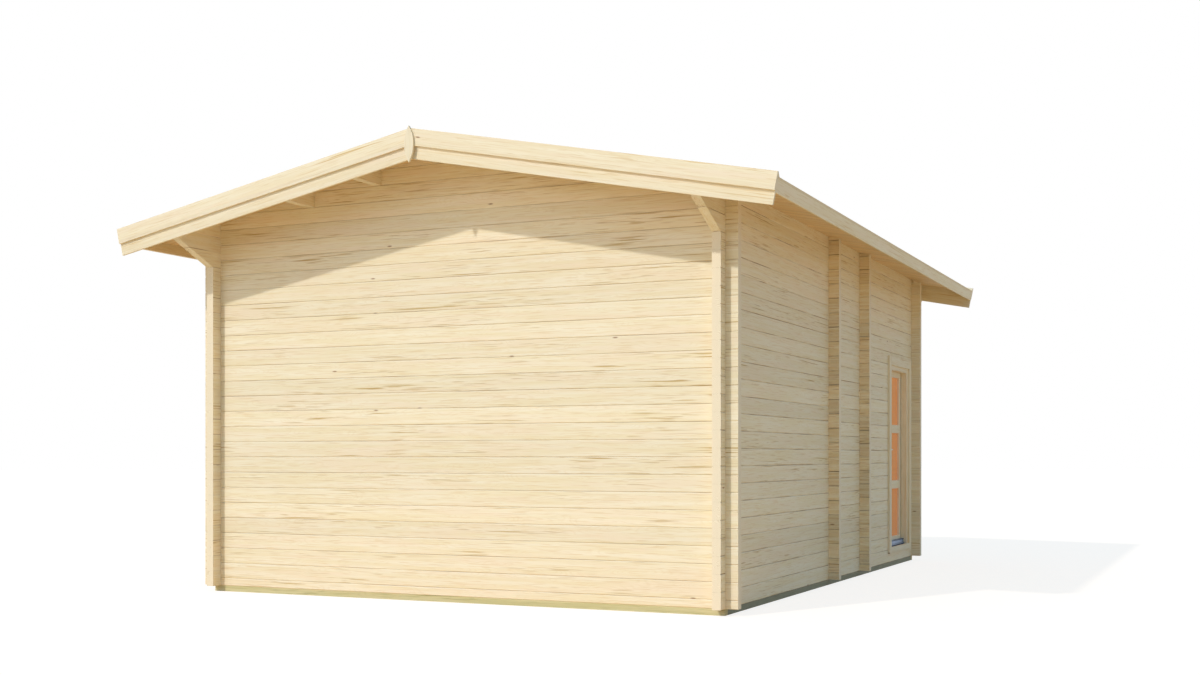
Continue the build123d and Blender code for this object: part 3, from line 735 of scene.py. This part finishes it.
# The photograph's camera: level, on 1200 by 675 pixels, found from the lines of the log joints
photo_width = 1200
focal_length_in_pixels = 1415.26
horizon_below_middle_in_pixels = 119.5
camera_place = Vector((5.949, -13.110, 1.1815))
camera_heading = Vector((-0.41915, 0.90792, 0))
lens = bpy.data.cameras.new("camera")
lens.sensor_width = 36
lens.lens = lens.sensor_width * focal_length_in_pixels / photo_width
lens.shift_y = horizon_below_middle_in_pixels / photo_width
camera = bpy.data.objects.new("camera", lens)
camera.location = camera_place
camera.rotation_mode = "QUATERNION"
camera.rotation_quaternion = camera_heading.to_track_quat("-Z", "Y")
bpy.context.scene.collection.objects.link(camera)
bpy.context.scene.camera = camera

# A sun from the front left, so that the roof shades the top of the gable, and a broad soft light from the front
lamps = {
    "key": {"energy": 1.63, "angle": 1.5, "way": (0.316, 0.714, -0.624)},
    "front": {"energy": 0.76, "angle": 50, "way": (0.5, 0.85, -0.15)},
}
for name, lamp in lamps.items():
    light = bpy.data.lights.new(name, "SUN")
    light.energy = lamp["energy"]
    light.angle = math.radians(lamp["angle"])
    holder = bpy.data.objects.new(name, light)
    holder.rotation_mode = "QUATERNION"
    holder.rotation_quaternion = Vector(lamp["way"]).to_track_quat("-Z", "Y")
    bpy.context.scene.collection.objects.link(holder)


def seen_straight(tree):
    """1 for what the camera sees, also in a mirror or through glass."""
    path = add(tree, "ShaderNodeLightPath")
    seen = add(tree, "ShaderNodeMath", {0: path["Is Camera Ray"], 1: path["Is Glossy Ray"]}, operation="MAXIMUM")[0]
    return add(tree, "ShaderNodeMath", {0: seen, 1: path["Is Transmission Ray"]}, operation="MAXIMUM")[0]


# A pale blue sky lights the cabin, and white shows behind it
sky_level = 0.565
world = bpy.data.worlds.new("studio")
bpy.context.scene.world = world
world.use_nodes = True
world.node_tree.nodes.clear()
sky = add(world.node_tree, "ShaderNodeBackground", {"Color": colour("#BFE0FF"), "Strength": sky_level})[0]
white = add(world.node_tree, "ShaderNodeBackground", {"Color": colour("#FFFFFF"), "Strength": 1.0})[0]
both = add(world.node_tree, "ShaderNodeMixShader", {0: seen_straight(world.node_tree), 1: sky, 2: white})[0]
add(world.node_tree, "ShaderNodeOutputWorld", {"Surface": both})

# A pale sand floor: its warm bounce lights the shade under the roof, and seen straight it is white but for the
# shadow on it
ground_reach = 120
ground_sides = 96
ground_gap = 0.5
ground_glow = 0.8
ground_mesh = bmesh.new()
bmesh.ops.create_circle(ground_mesh, cap_ends=True, radius=ground_reach, segments=ground_sides)
ground_data = bpy.data.meshes.new("ground")
ground_mesh.to_mesh(ground_data)
ground_mesh.free()
ground = bpy.data.objects.new("ground", ground_data)
ground.location.z = -ground_gap * mm
bpy.context.scene.collection.objects.link(ground)
ground_paint, ground_tree = start_material("matt floor paint, rolled")
bounce = add(ground_tree, "ShaderNodeBsdfDiffuse", {"Color": colour("#F1CEA0")})[0]
shadow_catch = add(ground_tree, "ShaderNodeBsdfDiffuse", {"Color": colour("#A29586")})[0]
glow = add(ground_tree, "ShaderNodeEmission", {"Color": colour("#FFFFFF"), "Strength": ground_glow})[0]
shown = add(ground_tree, "ShaderNodeAddShader", {0: shadow_catch, 1: glow})[0]
mixed = add(ground_tree, "ShaderNodeMixShader", {0: seen_straight(ground_tree), 1: bounce, 2: shown})[0]
add(ground_tree, "ShaderNodeOutputMaterial", {"Surface": mixed})
ground_data.materials.append(ground_paint)

bpy.context.scene.view_settings.view_transform = "Standard"
